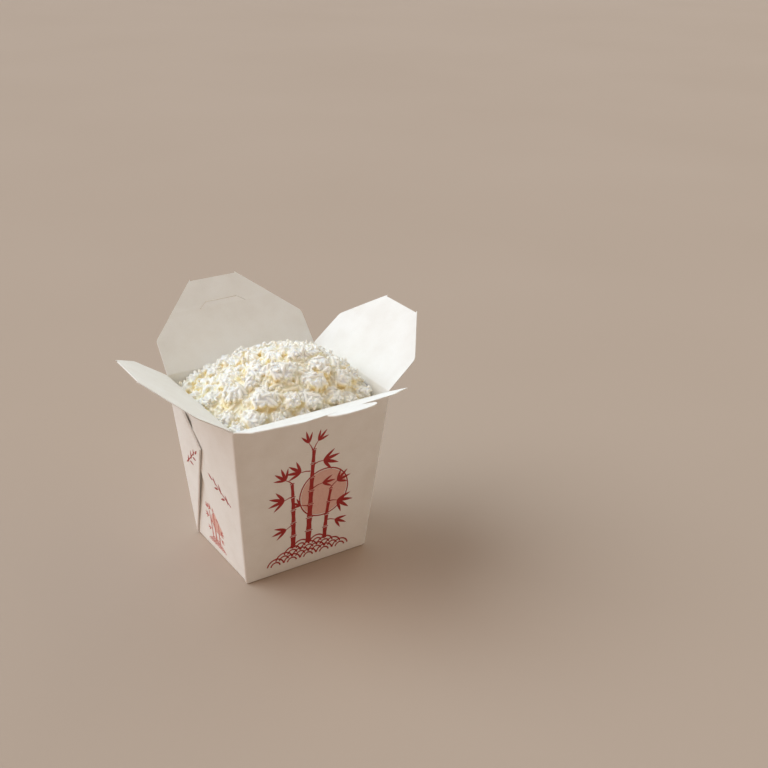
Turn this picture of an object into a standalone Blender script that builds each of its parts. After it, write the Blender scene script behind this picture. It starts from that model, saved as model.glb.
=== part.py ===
"""Steamed rice heaped in its folded paperboard take-out carton, with the four lid flaps open.

Metres, +Z up. The origin is the centre of the base, on its underside. The front panel faces -Y.
The four walls widen upwards. The front and back walls wrap round the corners as folded ears,
which lie against the two side walls. Each lid flap has its own origin on its crease at the rim.
"""

import math

import bmesh
import bpy
import numpy as np
from mathutils import Euler, Vector

# Carton, outside, in metres
RIM_WIDTH = 0.0866
RIM_DEPTH = 0.0742
BASE_WIDTH = 0.0697
BASE_DEPTH = 0.0573
HEIGHT = 0.0902  # of the creases that the lid flaps turn on
BOARD = 0.00045  # paperboard thickness
CREASE_GAP = 0.0007  # from a crease down to the top of its wall
FLAP_START = 0.0004  # from a crease out to the edge of its flap
CORNER_GAP = 0.0008  # each flap is this much shorter than its crease at either end
GAP = 0.0003  # clearance between neighbouring pieces
REACH = 0.005  # cutters run this far past what they cut

# Shapes on the panels are drawn in shares of the rim's width
UNIT = RIM_WIDTH
EAR = 2 * BOARD  # an ear is the board folded double
SIDE_WALL = EAR + BOARD
# (y, z) on a side wall: what the two ears leave bare, above and below their crossing
BARE_ABOVE = [(-0.428, 1.06), (-0.428, 1.042), (-0.077, 0.972), (0.064, 0.903), (0.165, 0.850), (0.428, 1.06)]
BARE_BELOW = [(-0.331, -0.01), (-0.331, 0.0), (-0.034, 0.296), (0.048, 0.396), (0.100, 0.558), (0.331, -0.01)]
BACK_EAR = [(0.424, 1.030), (0.019, 0.742), (0.328, 0.004)]
BACK_EAR_LIFT = 0.0022  # how far its tip stands off the front ear
BACK_EAR_SINK = 0.0001  # of its root, under the wall's surface

# Lid flaps: (half width, height) of the wide corners and of the top edge, in rim widths
BACK_OUTLINE = [(0.483, 0.220), (0.142, 0.569)]
SIDE_OUTLINE = [(0.410, 0.238), (0.146, 0.499)]
FRONT_OUTLINE = [(0.485, 0.219), (0.279, 0.411)]
TONGUE_NECK = 0.078
TONGUE_HALF = 0.125
TONGUE_TOP = 0.575
TONGUE_SLIT = 0.010
TONGUE_STEPS = 9
SLIT_PATH = [(-0.151, 0.362), (-0.102, 0.401), (0.102, 0.401), (0.151, 0.362)]
SLIT_WIDTH = 0.0005
# Degrees that each flap leans out from upright
LEAN = {"front": 64.2, "back": 42.9, "left": 54.0, "right": 47.8}
YAW = {"front": 0.0, "right": 90.0, "back": 180.0, "left": -90.0}

# Rice: levels are rim widths above the creases
CORNER_LEVEL = {"front_left": -0.035, "front_right": -0.12, "back_right": -0.03, "back_left": -0.08}
DOME_HEIGHT = 0.290
DOME_POWER = 1.72
DOME_ROUND = 0.65
DOME_SHIFT = (-0.20, 0.30)
BACK_BULGE = 0.112
CORE_STEPS = (28, 24)
CLUMPS = 56  # balls of stuck rice that make the heap lumpy
CLUMP_TRIES = 25
CLUMP_RADIUS = 0.0082
CLUMP_HEIGHT = 0.0050
CLUMP_SIZES = (0.75, 1.25)
CLUMP_SINK = 0.0032  # of the dome between the clumps
CLUMP_FADE = 6  # the clumps die out over this part of the way to the walls
BUMP = 0.0005
GRAIN_LENGTH = 0.0074
GRAIN_RADIUS = 0.00122
GRAIN_SHOULDER = 0.27  # from its middle to either ring, in lengths
GRAIN_SIDES = 6
GRAIN_SIZES = (0.88, 1.1)
GRAIN_TILT = 28  # degrees either way from lying flat
GRAIN_RISE = (0.05, 0.6)  # of its axis over the surface, in radii
GRAINS = 208
GRAIN_TRIES = 60
GRAIN_SPREAD = 0.95
SEED = 7

# Colours from the photo
BOARD_COLOUR = (0.86, 0.82, 0.76)
FLAP_COLOUR = (0.88, 0.86, 0.82)
RICE_COLOUR = (0.93, 0.88, 0.76)
BOARD_ROUGHNESS = 0.6
RICE_ROUGHNESS = 0.45


def start_empty():
    for ob in list(bpy.data.objects):
        bpy.data.objects.remove(ob, do_unlink=True)


def material(name, colour, roughness):
    made = bpy.data.materials.new(name)
    made.use_nodes = True
    shader = made.node_tree.nodes["Principled BSDF"]
    shader.inputs["Base Color"].default_value = (*colour, 1.0)
    shader.inputs["Roughness"].default_value = roughness
    shader.inputs["Metallic"].default_value = 0.0
    made.diffuse_color = (*colour, 1.0)
    return made


def add_solid(name, points, faces, finish=None):
    """A closed mesh as a new object, in triangles that face outwards."""
    mesh = bpy.data.meshes.new(name)
    mesh.from_pydata([tuple(p) for p in points], [], faces)
    shape = bmesh.new()
    shape.from_mesh(mesh)
    bmesh.ops.triangulate(shape, faces=shape.faces)
    bmesh.ops.recalc_face_normals(shape, faces=shape.faces)
    shape.to_mesh(mesh)
    shape.free()
    if finish:
        mesh.materials.append(finish)
    made = bpy.data.objects.new(name, mesh)
    bpy.context.scene.collection.objects.link(made)
    return made


def prism(name, ring_a, ring_b, finish=None):
    """A closed solid between two rings of as many points each."""
    count = len(ring_a)
    faces = [tuple(range(count)), tuple(range(count, 2 * count))]
    faces += [(i, (i + 1) % count, count + (i + 1) % count, count + i) for i in range(count)]
    return add_solid(name, [*ring_a, *ring_b], faces, finish)


def combine(target, others, operation):
    """Applies one Boolean with all the others to the target and removes them."""
    group = bpy.data.collections.new("operands")
    for ob in others:
        group.objects.link(ob)
    step = target.modifiers.new("combine", "BOOLEAN")
    step.operation = operation
    step.operand_type = "COLLECTION"
    step.collection = group
    step.solver = "EXACT"
    applied = bpy.data.meshes.new_from_object(target.evaluated_get(bpy.context.evaluated_depsgraph_get()))
    applied.name = target.name
    target.modifiers.clear()
    target.data = applied
    for ob in others:
        bpy.data.objects.remove(ob, do_unlink=True)
    bpy.data.collections.remove(group)


def half_width(z):
    """From the middle of the carton to the outside of a side wall at z."""
    return (BASE_WIDTH + (RIM_WIDTH - BASE_WIDTH) * z / HEIGHT) / 2


def half_depth(z):
    """From the middle of the carton to the outside of the front or back wall at z."""
    return (BASE_DEPTH + (RIM_DEPTH - BASE_DEPTH) * z / HEIGHT) / 2


def rectangle(z, side_inset=0.0, front_inset=0.0):
    """The carton's section at z, each side moved in."""
    x = half_width(z) - side_inset
    y = half_depth(z) - front_inset
    return [(-x, -y, z), (x, -y, z), (x, y, z), (-x, y, z)]


def on_side(sign, point, depth):
    """A point drawn on a side wall as (y, z) in rim widths, moved inwards by depth."""
    y, z = point[0] * UNIT, point[1] * UNIT
    return (sign * (half_width(z) - depth), y, z)


def side_prism(name, sign, outline, outer_depths, inner_depths):
    """A solid drawn on a side wall, between two depths at each point of its outline."""
    outer = [on_side(sign, p, d) for p, d in zip(outline, outer_depths)]
    inner = [on_side(sign, p, d) for p, d in zip(outline, inner_depths)]
    return prism(name, outer, inner)


def make_carton(finish):
    """The walls and base as one board, with the ears folded round onto the sides."""
    carton = prism("carton", rectangle(0.0), rectangle(HEIGHT - CREASE_GAP), finish)
    floor, above = (rectangle(z, SIDE_WALL, BOARD) for z in (BOARD, HEIGHT + REACH))
    cutters = [prism("hollow", floor, above)]
    for sign in (-1, 1):
        for outline in (BARE_ABOVE, BARE_BELOW):
            outside, bare = [-REACH] * len(outline), [EAR] * len(outline)
            cutters.append(side_prism("bare", sign, outline, outside, bare))
    combine(carton, cutters, "DIFFERENCE")
    outer = [BACK_EAR_SINK, -BACK_EAR_LIFT, BACK_EAR_SINK]
    inner = [depth + EAR for depth in outer]
    ears = [side_prism("ear", sign, BACK_EAR, outer, inner) for sign in (-1, 1)]
    combine(carton, ears, "UNION")


def mirrored(half):
    """A closed outline from its right half, which runs from the crease up."""
    return [*half, *[(-s, t) for s, t in reversed(half) if s > 0]]


def flap_half(crease_half, corners):
    """The right half of a flap's outline, from its crease up to its top edge."""
    start = (crease_half - CORNER_GAP, FLAP_START)
    return [start, *[(s * UNIT, t * UNIT) for s, t in corners]]


def tongue_half():
    """The right half of the locking tongue: a slit under its wing, then the round wing itself."""
    level = FRONT_OUTLINE[-1][1]
    centre = level + TONGUE_SLIT
    points = [(TONGUE_NECK, level), (TONGUE_NECK, centre)]
    for i in range(TONGUE_STEPS + 1):
        turn = math.pi / 2 * i / TONGUE_STEPS
        reach = TONGUE_HALF * math.cos(turn)
        points.append((max(reach, 0.0), centre + (TONGUE_TOP - centre) * math.sin(turn)))
    return [(s * UNIT, t * UNIT) for s, t in points]


def make_flap(side, half, finish):
    """A flat lid flap, standing on its crease and leaning out."""
    outline = mirrored(half)
    inner = [(s, BOARD / 2, t) for s, t in outline]
    outer = [(s, -BOARD / 2, t) for s, t in outline]
    flap = prism("flap_" + side, inner, outer, finish)
    across = {"front": (0, -1), "back": (0, 1), "left": (-1, 0), "right": (1, 0)}[side]
    flap.location = (across[0] * RIM_WIDTH / 2, across[1] * RIM_DEPTH / 2, HEIGHT)
    flap.rotation_euler = Euler((math.radians(LEAN[side]), 0.0, math.radians(YAW[side])))
    return flap


def cut_tongue_slit(flap):
    """The slit in the back flap that the tongue locks into."""
    path = [Vector((s * UNIT, 0.0, t * UNIT)) for s, t in SLIT_PATH]
    ring = []
    for shift in (-SLIT_WIDTH / 2, SLIT_WIDTH / 2):
        side = [p + Vector((0.0, 0.0, shift)) for p in path]
        ring += side if shift < 0 else side[::-1]
    near, far = ([p + Vector((0.0, reach, 0.0)) for p in ring] for reach in (-REACH, REACH))
    cutter = prism("slit", near, far)
    cutter.matrix_world = flap.matrix_basis
    combine(flap, [cutter], "DIFFERENCE")


def make_flaps(finish):
    """The four lid flaps. The front one ends in a tongue, which locks into the back one's slit."""
    make_flap("front", flap_half(RIM_WIDTH / 2, FRONT_OUTLINE) + tongue_half(), finish)
    back = make_flap("back", flap_half(RIM_WIDTH / 2, BACK_OUTLINE), finish)
    bpy.context.view_layer.update()
    cut_tongue_slit(back)
    for side in ("left", "right"):
        make_flap(side, flap_half(RIM_DEPTH / 2, SIDE_OUTLINE), finish)


def crown(share):
    """How far the dome rises at a share of the way from its top to a wall, from 1 to 0."""
    return np.clip(1 - np.abs(share) ** DOME_POWER, 0.0, 1.0) ** DOME_ROUND


def dome(u, v):
    """Height of the heap at shares u and v of the way from the centre to the walls."""
    level = CORNER_LEVEL["front_left"] * (1 - u) * (1 - v) + CORNER_LEVEL["front_right"] * (1 + u) * (1 - v)
    level = level + CORNER_LEVEL["back_right"] * (1 + u) * (1 + v)
    level = level + CORNER_LEVEL["back_left"] * (1 - u) * (1 + v)
    rise = crown(u + DOME_SHIFT[0] * (1 - u**2)) * crown(v + DOME_SHIFT[1] * (1 - v**2))
    bulge = BACK_BULGE * (1 - u**2) * np.clip(v, 0.0, 1.0) ** 2
    return HEIGHT + UNIT * (level / 4 + DOME_HEIGHT * rise + bulge)


def room(z):
    """Half sizes of the space for rice inside the walls at z."""
    low = np.minimum(z, HEIGHT)
    return half_width(low) - SIDE_WALL - GAP, half_depth(low) - BOARD - GAP


def spread(draw, count, tries, reach, place):
    """Evenly spread shares (u, v): each is the one of several tries that lies farthest from the rest."""
    shares, points = [], []
    for _ in range(count):
        options = draw.uniform(-reach, reach, (tries, 2))
        spots = [place(u, v) for u, v in options]
        gaps = [min(((spot - p).length for p in points), default=0.0) for spot in spots]
        best = int(np.argmax(gaps))
        shares.append(options[best])
        points.append(spots[best])
    return shares


class Heap:
    """The heap's surface: a dome of stuck clumps of rice, with clefts between them."""

    def __init__(self, draw):
        self.wide, self.deep = room(HEIGHT)
        self.clumps = spread(draw, CLUMPS, CLUMP_TRIES, 1.0, self.level)
        self.scales = draw.uniform(*CLUMP_SIZES, CLUMPS)

    def level(self, u, v):
        """The place at the rim's height at shares u and v of the way to the walls."""
        return Vector((u * self.wide, v * self.deep, HEIGHT))

    def point(self, u, v):
        """The place on the heap at shares u and v of the way to the walls."""
        lump = 0.0
        for (cu, cv), scale in zip(self.clumps, self.scales):
            far = math.hypot((u - cu) * self.wide, (v - cv) * self.deep) / (CLUMP_RADIUS * scale)
            lump = max(lump, scale * CLUMP_HEIGHT * (1 - far**2))
        fade = min(CLUMP_FADE * (1 - abs(u)), 1.0) * min(CLUMP_FADE * (1 - abs(v)), 1.0)
        z = dome(u, v) + (lump - CLUMP_SINK) * max(fade, 0.0)
        wide, deep = room(z)
        return Vector((u * wide, v * deep, z))

    def normal(self, u, v, step=0.02):
        across = self.point(u + step, v) - self.point(u - step, v)
        along = self.point(u, v + step) - self.point(u, v - step)
        return across.cross(along).normalized()


def make_core(heap, draw, finish):
    """The body of rice below its visible grains, fitted to the carton's inside."""
    count_u, count_v = CORE_STEPS
    points = []
    for v in np.linspace(-1.0, 1.0, count_v + 1):
        for u in np.linspace(-1.0, 1.0, count_u + 1):
            p = heap.point(u, v)
            if abs(u) < 1.0 and abs(v) < 1.0:
                p.z += draw.uniform(-BUMP, BUMP)
            points.append(p)
    row, last, base = count_u + 1, count_v * (count_u + 1), len(points)
    points += rectangle(BOARD + GAP, SIDE_WALL + GAP, BOARD + GAP)
    faces = []
    for j in range(count_v):
        corners = range(j * row, j * row + count_u)
        faces += [(k, k + 1, k + row + 1, k + row) for k in corners]
    front = range(row)
    right = range(count_u, len(points) - 4, row)
    back = range(last + count_u, last - 1, -1)
    left = range(last, -1, -row)
    for side, edge in enumerate((front, right, back, left)):
        faces.append((*edge, base + (side + 1) % 4, base + side))
    faces.append(range(base, base + 4))
    return add_solid("rice", points, faces, finish)


def grain_mesh():
    """One grain along X with two rings and two tips: 24 triangles."""
    points = [Vector((-GRAIN_LENGTH / 2, 0, 0)), Vector((GRAIN_LENGTH / 2, 0, 0))]
    for x in (-GRAIN_LENGTH * GRAIN_SHOULDER, GRAIN_LENGTH * GRAIN_SHOULDER):
        for i in range(GRAIN_SIDES):
            turn = 2 * math.pi * i / GRAIN_SIDES
            points.append(Vector((x, GRAIN_RADIUS * math.cos(turn), GRAIN_RADIUS * math.sin(turn))))
    faces = []
    for i in range(GRAIN_SIDES):
        j = (i + 1) % GRAIN_SIDES
        a, b, c, d = 2 + i, 2 + j, 2 + GRAIN_SIDES + i, 2 + GRAIN_SIDES + j
        faces += [(0, b, a), (1, c, d), (a, b, d, c)]
    return points, faces


def fits(points):
    """Whether every point stays inside the walls and clear of them."""
    for p in points:
        wide, deep = room(p.z)
        if abs(p.x) > wide - GAP or abs(p.y) > deep - GAP:
            return False
    return True


def place_grains(heap, draw):
    """Grains spread evenly over the heap, each lying on it at its own slant."""
    shape, faces = grain_mesh()
    grains = []
    for u, v in spread(draw, GRAINS, GRAIN_TRIES, GRAIN_SPREAD, heap.point):
        normal = heap.normal(u, v)
        tilt = math.radians(draw.uniform(-GRAIN_TILT, GRAIN_TILT))
        turn = Euler((0.0, tilt, draw.uniform(0, math.pi)), "ZYX").to_matrix()
        lie = normal.to_track_quat("Z", "X").to_matrix() @ turn * draw.uniform(*GRAIN_SIZES)
        centre = heap.point(u, v) + normal * GRAIN_RADIUS * draw.uniform(*GRAIN_RISE)
        placed = [centre + lie @ p for p in shape]
        if fits(placed):
            grains.append(add_solid("grain", placed, faces))
    return grains


def keep_largest(mesh):
    """Drops loose scraps and the walls of sealed hollows, which leaves one solid body."""
    shape = bmesh.new()
    shape.from_mesh(mesh)
    left = set(shape.verts)
    groups = []
    while left:
        start = left.pop()
        group, edge = {start}, [start]
        while edge:
            for link in edge.pop().link_edges:
                for vert in link.verts:
                    if vert in left:
                        left.discard(vert)
                        group.add(vert)
                        edge.append(vert)
        groups.append(group)
    largest = max(groups, key=len)
    scraps = [v for group in groups if group is not largest for v in group]
    bmesh.ops.delete(shape, geom=scraps, context="VERTS")
    bmesh.ops.triangulate(shape, faces=shape.faces)
    shape.to_mesh(mesh)
    shape.free()


def make_rice(finish):
    draw = np.random.default_rng(SEED)
    heap = Heap(draw)
    core = make_core(heap, draw, finish)
    combine(core, place_grains(heap, draw), "UNION")
    keep_largest(core.data)


def main():
    start_empty()
    make_carton(material("board", BOARD_COLOUR, BOARD_ROUGHNESS))
    make_flaps(material("flap board", FLAP_COLOUR, BOARD_ROUGHNESS))
    make_rice(material("rice", RICE_COLOUR, RICE_ROUGHNESS))


main()
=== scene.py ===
"""Steamed rice in its folded take-out carton: the finished look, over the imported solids."""

from math import atan, ceil, cos, pi, radians, sin, sqrt

import bmesh
import bpy
import numpy as np
from mathutils import Matrix, Vector
from mathutils.bvhtree import BVHTree
from mathutils.geometry import delaunay_2d_cdt
from mathutils.kdtree import KDTree


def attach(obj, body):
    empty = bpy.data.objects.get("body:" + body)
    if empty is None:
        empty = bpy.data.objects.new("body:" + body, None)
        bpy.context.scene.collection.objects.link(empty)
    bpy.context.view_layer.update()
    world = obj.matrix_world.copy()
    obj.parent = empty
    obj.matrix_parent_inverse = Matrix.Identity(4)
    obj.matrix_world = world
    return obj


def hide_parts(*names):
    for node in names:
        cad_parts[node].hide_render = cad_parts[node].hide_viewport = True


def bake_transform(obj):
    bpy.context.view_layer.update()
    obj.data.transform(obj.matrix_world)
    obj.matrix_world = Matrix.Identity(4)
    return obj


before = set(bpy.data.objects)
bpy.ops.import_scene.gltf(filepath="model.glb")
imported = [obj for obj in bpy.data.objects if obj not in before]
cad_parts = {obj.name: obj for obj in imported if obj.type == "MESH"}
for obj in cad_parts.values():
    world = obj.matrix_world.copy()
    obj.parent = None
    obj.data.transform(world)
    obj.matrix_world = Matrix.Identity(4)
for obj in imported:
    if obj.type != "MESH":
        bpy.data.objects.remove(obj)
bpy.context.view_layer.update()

# The carton's sizes, in metres, as in the solids
RIM_WIDTH, RIM_DEPTH = RIM = 0.0866, 0.0742
BASE_WIDTH, BASE_DEPTH = BASE = 0.0697, 0.0573
HEIGHT = 0.0902
BOARD = 0.00045
SIDE_WALL = 3 * BOARD
UNIT = RIM_WIDTH  # shapes on the panels are drawn in shares of it
CORNER_GAP = 0.0008  # from a crease's end to the rim's corner
TAPER = atan((RIM_DEPTH - BASE_DEPTH) / 2 / HEIGHT)  # how far the walls lean out
LEANS = {"front": 64.2, "back": 42.9, "left": 54.0, "right": 47.8}  # of the flaps, in degrees

# Folds of the board
CREASE = 0.0005  # half the length of board that bends at the rim
BASE_FOLD = 0.0004  # and at the base
CORNER = 0.0009  # and round an upright corner
PLY_GAP = 0.00006  # between the two layers of a folded ear
PLY = BOARD + PLY_GAP
EAR_DEPTH = 2 * PLY
BASE_HALF = BASE_WIDTH / 2 - EAR_DEPTH - 0.0006
FLOOR_LENGTH = BASE_DEPTH - BOARD
MESH_STEP = 0.0026
TRIM = 0.0001  # from the end of a line inside a cut to its edge
INSET_FADE, SWELL_FADE = 0.0035, 0.02  # below and above the crease
BULGE = 0.0003  # of the front and back walls
TONGUE_BEND = 0.38, 0.1  # where the tongue's bend starts on the flap, and its length

# An ear on its side wall, as (y, z): the fold between its layers, and its top edge
FRONT_EAR = (
    [(-0.331, 0.0), (-0.034, 0.296), (0.048, 0.396), (0.100, 0.558), (0.138, 0.863)],
    [(0.064, 0.903), (-0.077, 0.972), (-0.428, 1.038)],
)
BACK_EAR = ([(-0.331, 0.0), (-0.019, 0.742)], [(-0.424, 1.036)])

# The flaps' right-hand corners, from the middle of their creases
FRONT_OUTLINE = [(0.485, 0.219), (0.279, 0.411)]
BACK_OUTLINE = [(0.483, 0.220), (0.142, 0.569)]
SIDE_OUTLINE = [(0.410, 0.238), (0.146, 0.499)]
FLAP_ROUND = 0.0018

# The tongue of the front flap, and the slit and the scored line of the back flap
TONGUE_RIGHT = [(0.075, 0.4075), (0.071, 0.4105), (0.075, 0.4135), (0.121, 0.4520), (0.128, 0.4600)]
TONGUE_LEFT = [(-0.144, 0.4480), (-0.148, 0.4240), (-0.144, 0.4170), (-0.078, 0.4120),
               (-0.075, 0.4105), (-0.078, 0.4090), (-0.168, 0.4085)]
TONGUE_MIDDLE, TONGUE_LOW, TONGUE_TOP, TONGUE_HALF = -0.008, 0.420, 0.575, 0.137
SLIT_PATH = [(-0.151, 0.362), (-0.102, 0.401), (0.102, 0.401), (0.151, 0.362)]
SLIT_WIDTH = 0.0004
SCORE, SCORE_REACH, SCORE_DEPTH, SCORE_WIDTH = 0.365, 0.40, 0.00012, 0.0004

# Colours: (position on a ramp, colour), or two that a ramp runs between
BOARD_TINTS = [(0.32, (0.855, 0.835, 0.800)), (0.50, (0.880, 0.865, 0.835)),
               (0.68, (0.900, 0.890, 0.865))]
BOARD_FLECKS = [(0.30, (0.93, 0.915, 0.89)), (0.42, (1.0, 1.0, 1.0))]
INKS = {
    "deep red": ((0.330, 0.010, 0.010), (0.420, 0.020, 0.016)),
    "pale pink": ((0.760, 0.440, 0.380), (0.800, 0.520, 0.450)),
    "side red": ((0.560, 0.130, 0.110), (0.620, 0.190, 0.160)),
}
# The rice's colour in the open, then its painted shade: golden, low on the clumps and deep in the
# hollows
SKIN_COLOUR_AND_PAINTED_SHADE = (0.995, 0.965, 0.895), (0.985, 0.805, 0.460)
GRAIN_COLOUR_AND_PAINTED_SHADE = (0.998, 0.968, 0.895), (0.985, 0.830, 0.510)
FLOOR_TINTS = [(0.3, (0.462, 0.362, 0.292)), (0.7, (0.476, 0.375, 0.305))]
WORLD_TINTS = [(0.14, (0.462, 0.364, 0.301)), (0.34, (0.090, 0.077, 0.066))]

# Distant lights: name, direction they shine from, strength, angle in degrees, colour
LIGHTS = [
    ("key", (-0.55, 0.42, 0.72), 2.37, 60, (0.82, 0.94, 1.00)),
    ("right", (1.00, -0.10, 0.35), 1.55, 100, (1.00, 0.92, 0.76)),
    ("left", (-1.00, -0.10, 0.30), 0.78, 100, (1.00, 0.52, 0.30)),
    ("back", (0.10, 1.00, 0.40), 1.28, 100, (0.72, 0.87, 1.00)),
]


# ---- materials

def fill(tree, made, *values, **inputs):
    """A node's inputs, by number or by name, each set to a value or a node's output."""
    named = {key.replace("_", " "): value for key, value in inputs.items()}
    for key, value in [*enumerate(values), *named.items()]:
        if isinstance(value, bpy.types.NodeSocket):
            tree.links.new(value, made.inputs[key])
        else:
            made.inputs[key].default_value = value


def node(tree, kind, output, settings=None, *values, **inputs):
    """An output of a new node, with its settings and inputs."""
    made = tree.nodes.new("ShaderNode" + kind)
    for key, value in (settings or {}).items():
        setattr(made, key, value)
    fill(tree, made, *values, **inputs)
    return made.outputs[output]


def new_material(name):
    """A material, its tree, its shader and the object's space."""
    made = bpy.data.materials.new(name)
    made.use_nodes = True
    tree = made.node_tree
    return made, tree, tree.nodes["Principled BSDF"], node(tree, "TexCoord", "Object")


def noise(tree, place, scale, detail, roughness=0.5):
    return node(tree, "TexNoise", "Fac", Vector=place, Scale=scale, Detail=detail,
                Roughness=roughness)


def ramp(tree, factor, stops):
    """A colour ramp through (position, colour) stops."""
    colours = node(tree, "ValToRGB", "Color", Fac=factor)
    elements = colours.node.color_ramp.elements
    while len(elements) < len(stops):
        elements.new(0.5)
    for element, (position, colour) in zip(elements, stops):
        element.position, element.color = position, (*colour, 1.0)
    return colours


def dress(tree, shader, colour, gloss, relief, **more):
    """A shader's inputs: gloss is (factor, its range, the roughness at its ends), and relief
    (height, strength, distance)."""
    factor, low, high, first, last = gloss
    height, strength, distance = relief
    rough = node(tree, "MapRange", "Result", Value=factor, From_Min=low, From_Max=high,
                 To_Min=first, To_Max=last)
    bump = node(tree, "Bump", "Normal", Height=height, Strength=strength, Distance=distance)
    fill(tree, shader, Base_Color=colour, Roughness=rough, Normal=bump, **more)


def board_material():
    """Clay-coated board: warm white, faintly cloudy, with short fibres under the coating."""
    made, tree, shader, place = new_material("board")
    clouds = noise(tree, place, 85.0, 4.0, 0.55)
    specks = noise(tree, place, 2600.0, 2.0, 0.7)
    colour = node(tree, "Mix", "Result", {"data_type": "RGBA", "blend_type": "MULTIPLY"},
                  Factor=1.0, A=ramp(tree, clouds, BOARD_TINTS), B=ramp(tree, specks, BOARD_FLECKS))
    along = node(tree, "Mapping", "Vector", Vector=place, Scale=(900.0, 900.0, 260.0))
    relief = node(tree, "Math", "Value", {"operation": "ADD"},
                  noise(tree, along, 1.0, 3.0), noise(tree, place, 420.0, 2.0))
    dress(tree, shader, colour, (clouds, 0.3, 0.7, 0.62, 0.50), (relief, 0.16, 0.00012),
          Specular_IOR_Level=0.38)
    return made


def ink_material(name, dark, light):
    """Printing ink on the board, slightly uneven where it lies thin."""
    made, tree, shader, place = new_material(name)
    patches = noise(tree, place, 700.0, 5.0, 0.65)
    dress(tree, shader, ramp(tree, patches, [(0.34, dark), (0.66, light)]),
          (patches, 0.3, 0.7, 0.52, 0.40), (patches, 0.12, 0.00005))
    return made


def rice_material(name, high, low, milky):
    """Cooked rice: milky, with painted shade: creamier and golden where it lies low on its clump and
    deep between the clumps.
    """
    made, tree, shader, place = new_material(name)
    depth, shade = (node(tree, "Attribute", "Fac", {"attribute_name": key})
                    for key in ("depth", "shade"))
    # Painted shade: how low on its clump and how deep in a hollow a point lies turns its colour
    # golden
    painted_shade = node(tree, "Math", "Value", {"operation": "MULTIPLY_ADD"}, shade, 0.30, depth)
    middle = tuple((a + b) / 2 for a, b in zip(high, low))
    starch = noise(tree, place, 900.0, 3.0, 0.6)
    dress(tree, shader, ramp(tree, painted_shade, [(0.18, high), (0.46, middle), (0.78, low)]),
          (starch, 0.35, 0.65, 0.30, 0.50), (starch, 0.25, 0.0002), Subsurface_Weight=milky,
          Subsurface_Radius=(1.0, 0.93, 0.80), Subsurface_Scale=0.0022, Specular_IOR_Level=0.45)
    return made


def floor_material():
    made, tree, shader, place = new_material("floor")
    fill(tree, shader, Base_Color=ramp(tree, noise(tree, place, 3.0, 2.0), FLOOR_TINTS),
         Roughness=0.85, Specular_IOR_Level=0.15)
    return made


# ---- meshes

def add_object(name, data):
    made = bpy.data.objects.new(name, data)
    bpy.context.scene.collection.objects.link(made)
    return made


def build(name, parts, finish, sharp=40):
    """One object from closed parts, each (points, faces)."""
    points, faces = [], []
    for part_points, part_faces in parts:
        start = len(points)
        points.extend(map(tuple, part_points))
        faces.extend([start + i for i in face] for face in part_faces)
    mesh = bpy.data.meshes.new(name)
    mesh.from_pydata(points, [], faces)
    mesh.shade_smooth()
    mesh.set_sharp_from_angle(angle=radians(sharp))
    mesh.materials.append(finish)
    return add_object(name, mesh)


def unit(vectors):
    return vectors / np.linalg.norm(vectors, axis=-1, keepdims=True)


def split_long(line, step, closed=False):
    """The line with points added, none further apart than step."""
    line = [np.array(p, float) for p in line]
    ends = line[1:] + line[:1] if closed else line[1:]
    points = []
    for a, b in zip(line, ends):
        count = max(1, ceil(np.linalg.norm(b - a) / step))
        points += [a + (b - a) * i / count for i in range(count)]
    return points if closed else points + [line[-1]]


def inside(points, outline):
    """Which points lie inside a closed outline."""
    found = np.zeros(len(points), bool)
    x, y = points[:, 0], points[:, 1]
    for (x0, y0), (x1, y1) in zip(outline, [*outline[1:], outline[0]]):
        if y0 != y1:
            crosses = (y0 > y) != (y1 > y)
            found ^= crosses & (x < (x1 - x0) * (y - y0) / (y1 - y0) + x0)
    return found


def cut(outlines, holes=(), lines=(), step=MESH_STEP):
    """Flat triangles that fill the outlines together, with edges along the lines."""
    points, edges = [], []
    closed_lines = [(line, True) for line in (*outlines, *holes)]
    for line, closed in [*closed_lines, *[(line, False) for line in lines]]:
        found = split_long(line, step, closed)
        ring = range(len(points), len(points) + len(found))
        edges += list(zip(ring, ring[1:]))
        if closed:
            edges.append((ring[-1], ring[0]))
        points += found
    edge_points = np.array(points)
    low, high = edge_points.min(0), edge_points.max(0)
    rows = np.meshgrid(np.arange(low[0], high[0], step), np.arange(low[1], high[1], step))
    grid = np.stack(rows, -1)
    grid[1::2, :, 0] += step / 2
    grid = grid.reshape(-1, 2)
    grid = grid[np.any([inside(grid, o) for o in outlines], axis=0)]
    near = np.array([np.min(np.sum((edge_points - p) ** 2, axis=1)) for p in grid])
    points += list(grid[near > (0.55 * step) ** 2])
    found = delaunay_2d_cdt([Vector(p) for p in points], edges, [], 0, 1e-7)
    flat = np.array([tuple(v) for v in found[0]])
    faces = np.array(found[2])
    middle = flat[faces].mean(axis=1)
    keep = np.any([inside(middle, o) for o in outlines], axis=0)
    for hole in holes:
        keep &= ~inside(middle, hole)
    used, faces = np.unique(faces[keep], return_inverse=True)
    flat, faces = flat[used], faces.reshape(-1, 3)
    a, b, c = (flat[faces[:, i]] for i in range(3))
    u, v = b - a, c - a
    turned = u[:, 0] * v[:, 1] < v[:, 0] * u[:, 1]
    faces[turned] = faces[turned][:, ::-1]
    return flat, faces


def lay(place, flat, lift):
    """Points of a flat cut put in place and lifted to the sheet's outer side."""
    step = 0.00002
    x, y = np.array([step, 0.0]), np.array([0.0, step])
    across = place(flat + x) - place(flat - x)
    up = place(flat + y) - place(flat - y)
    return place(flat) + unit(np.cross(across, up)) * lift


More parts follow.
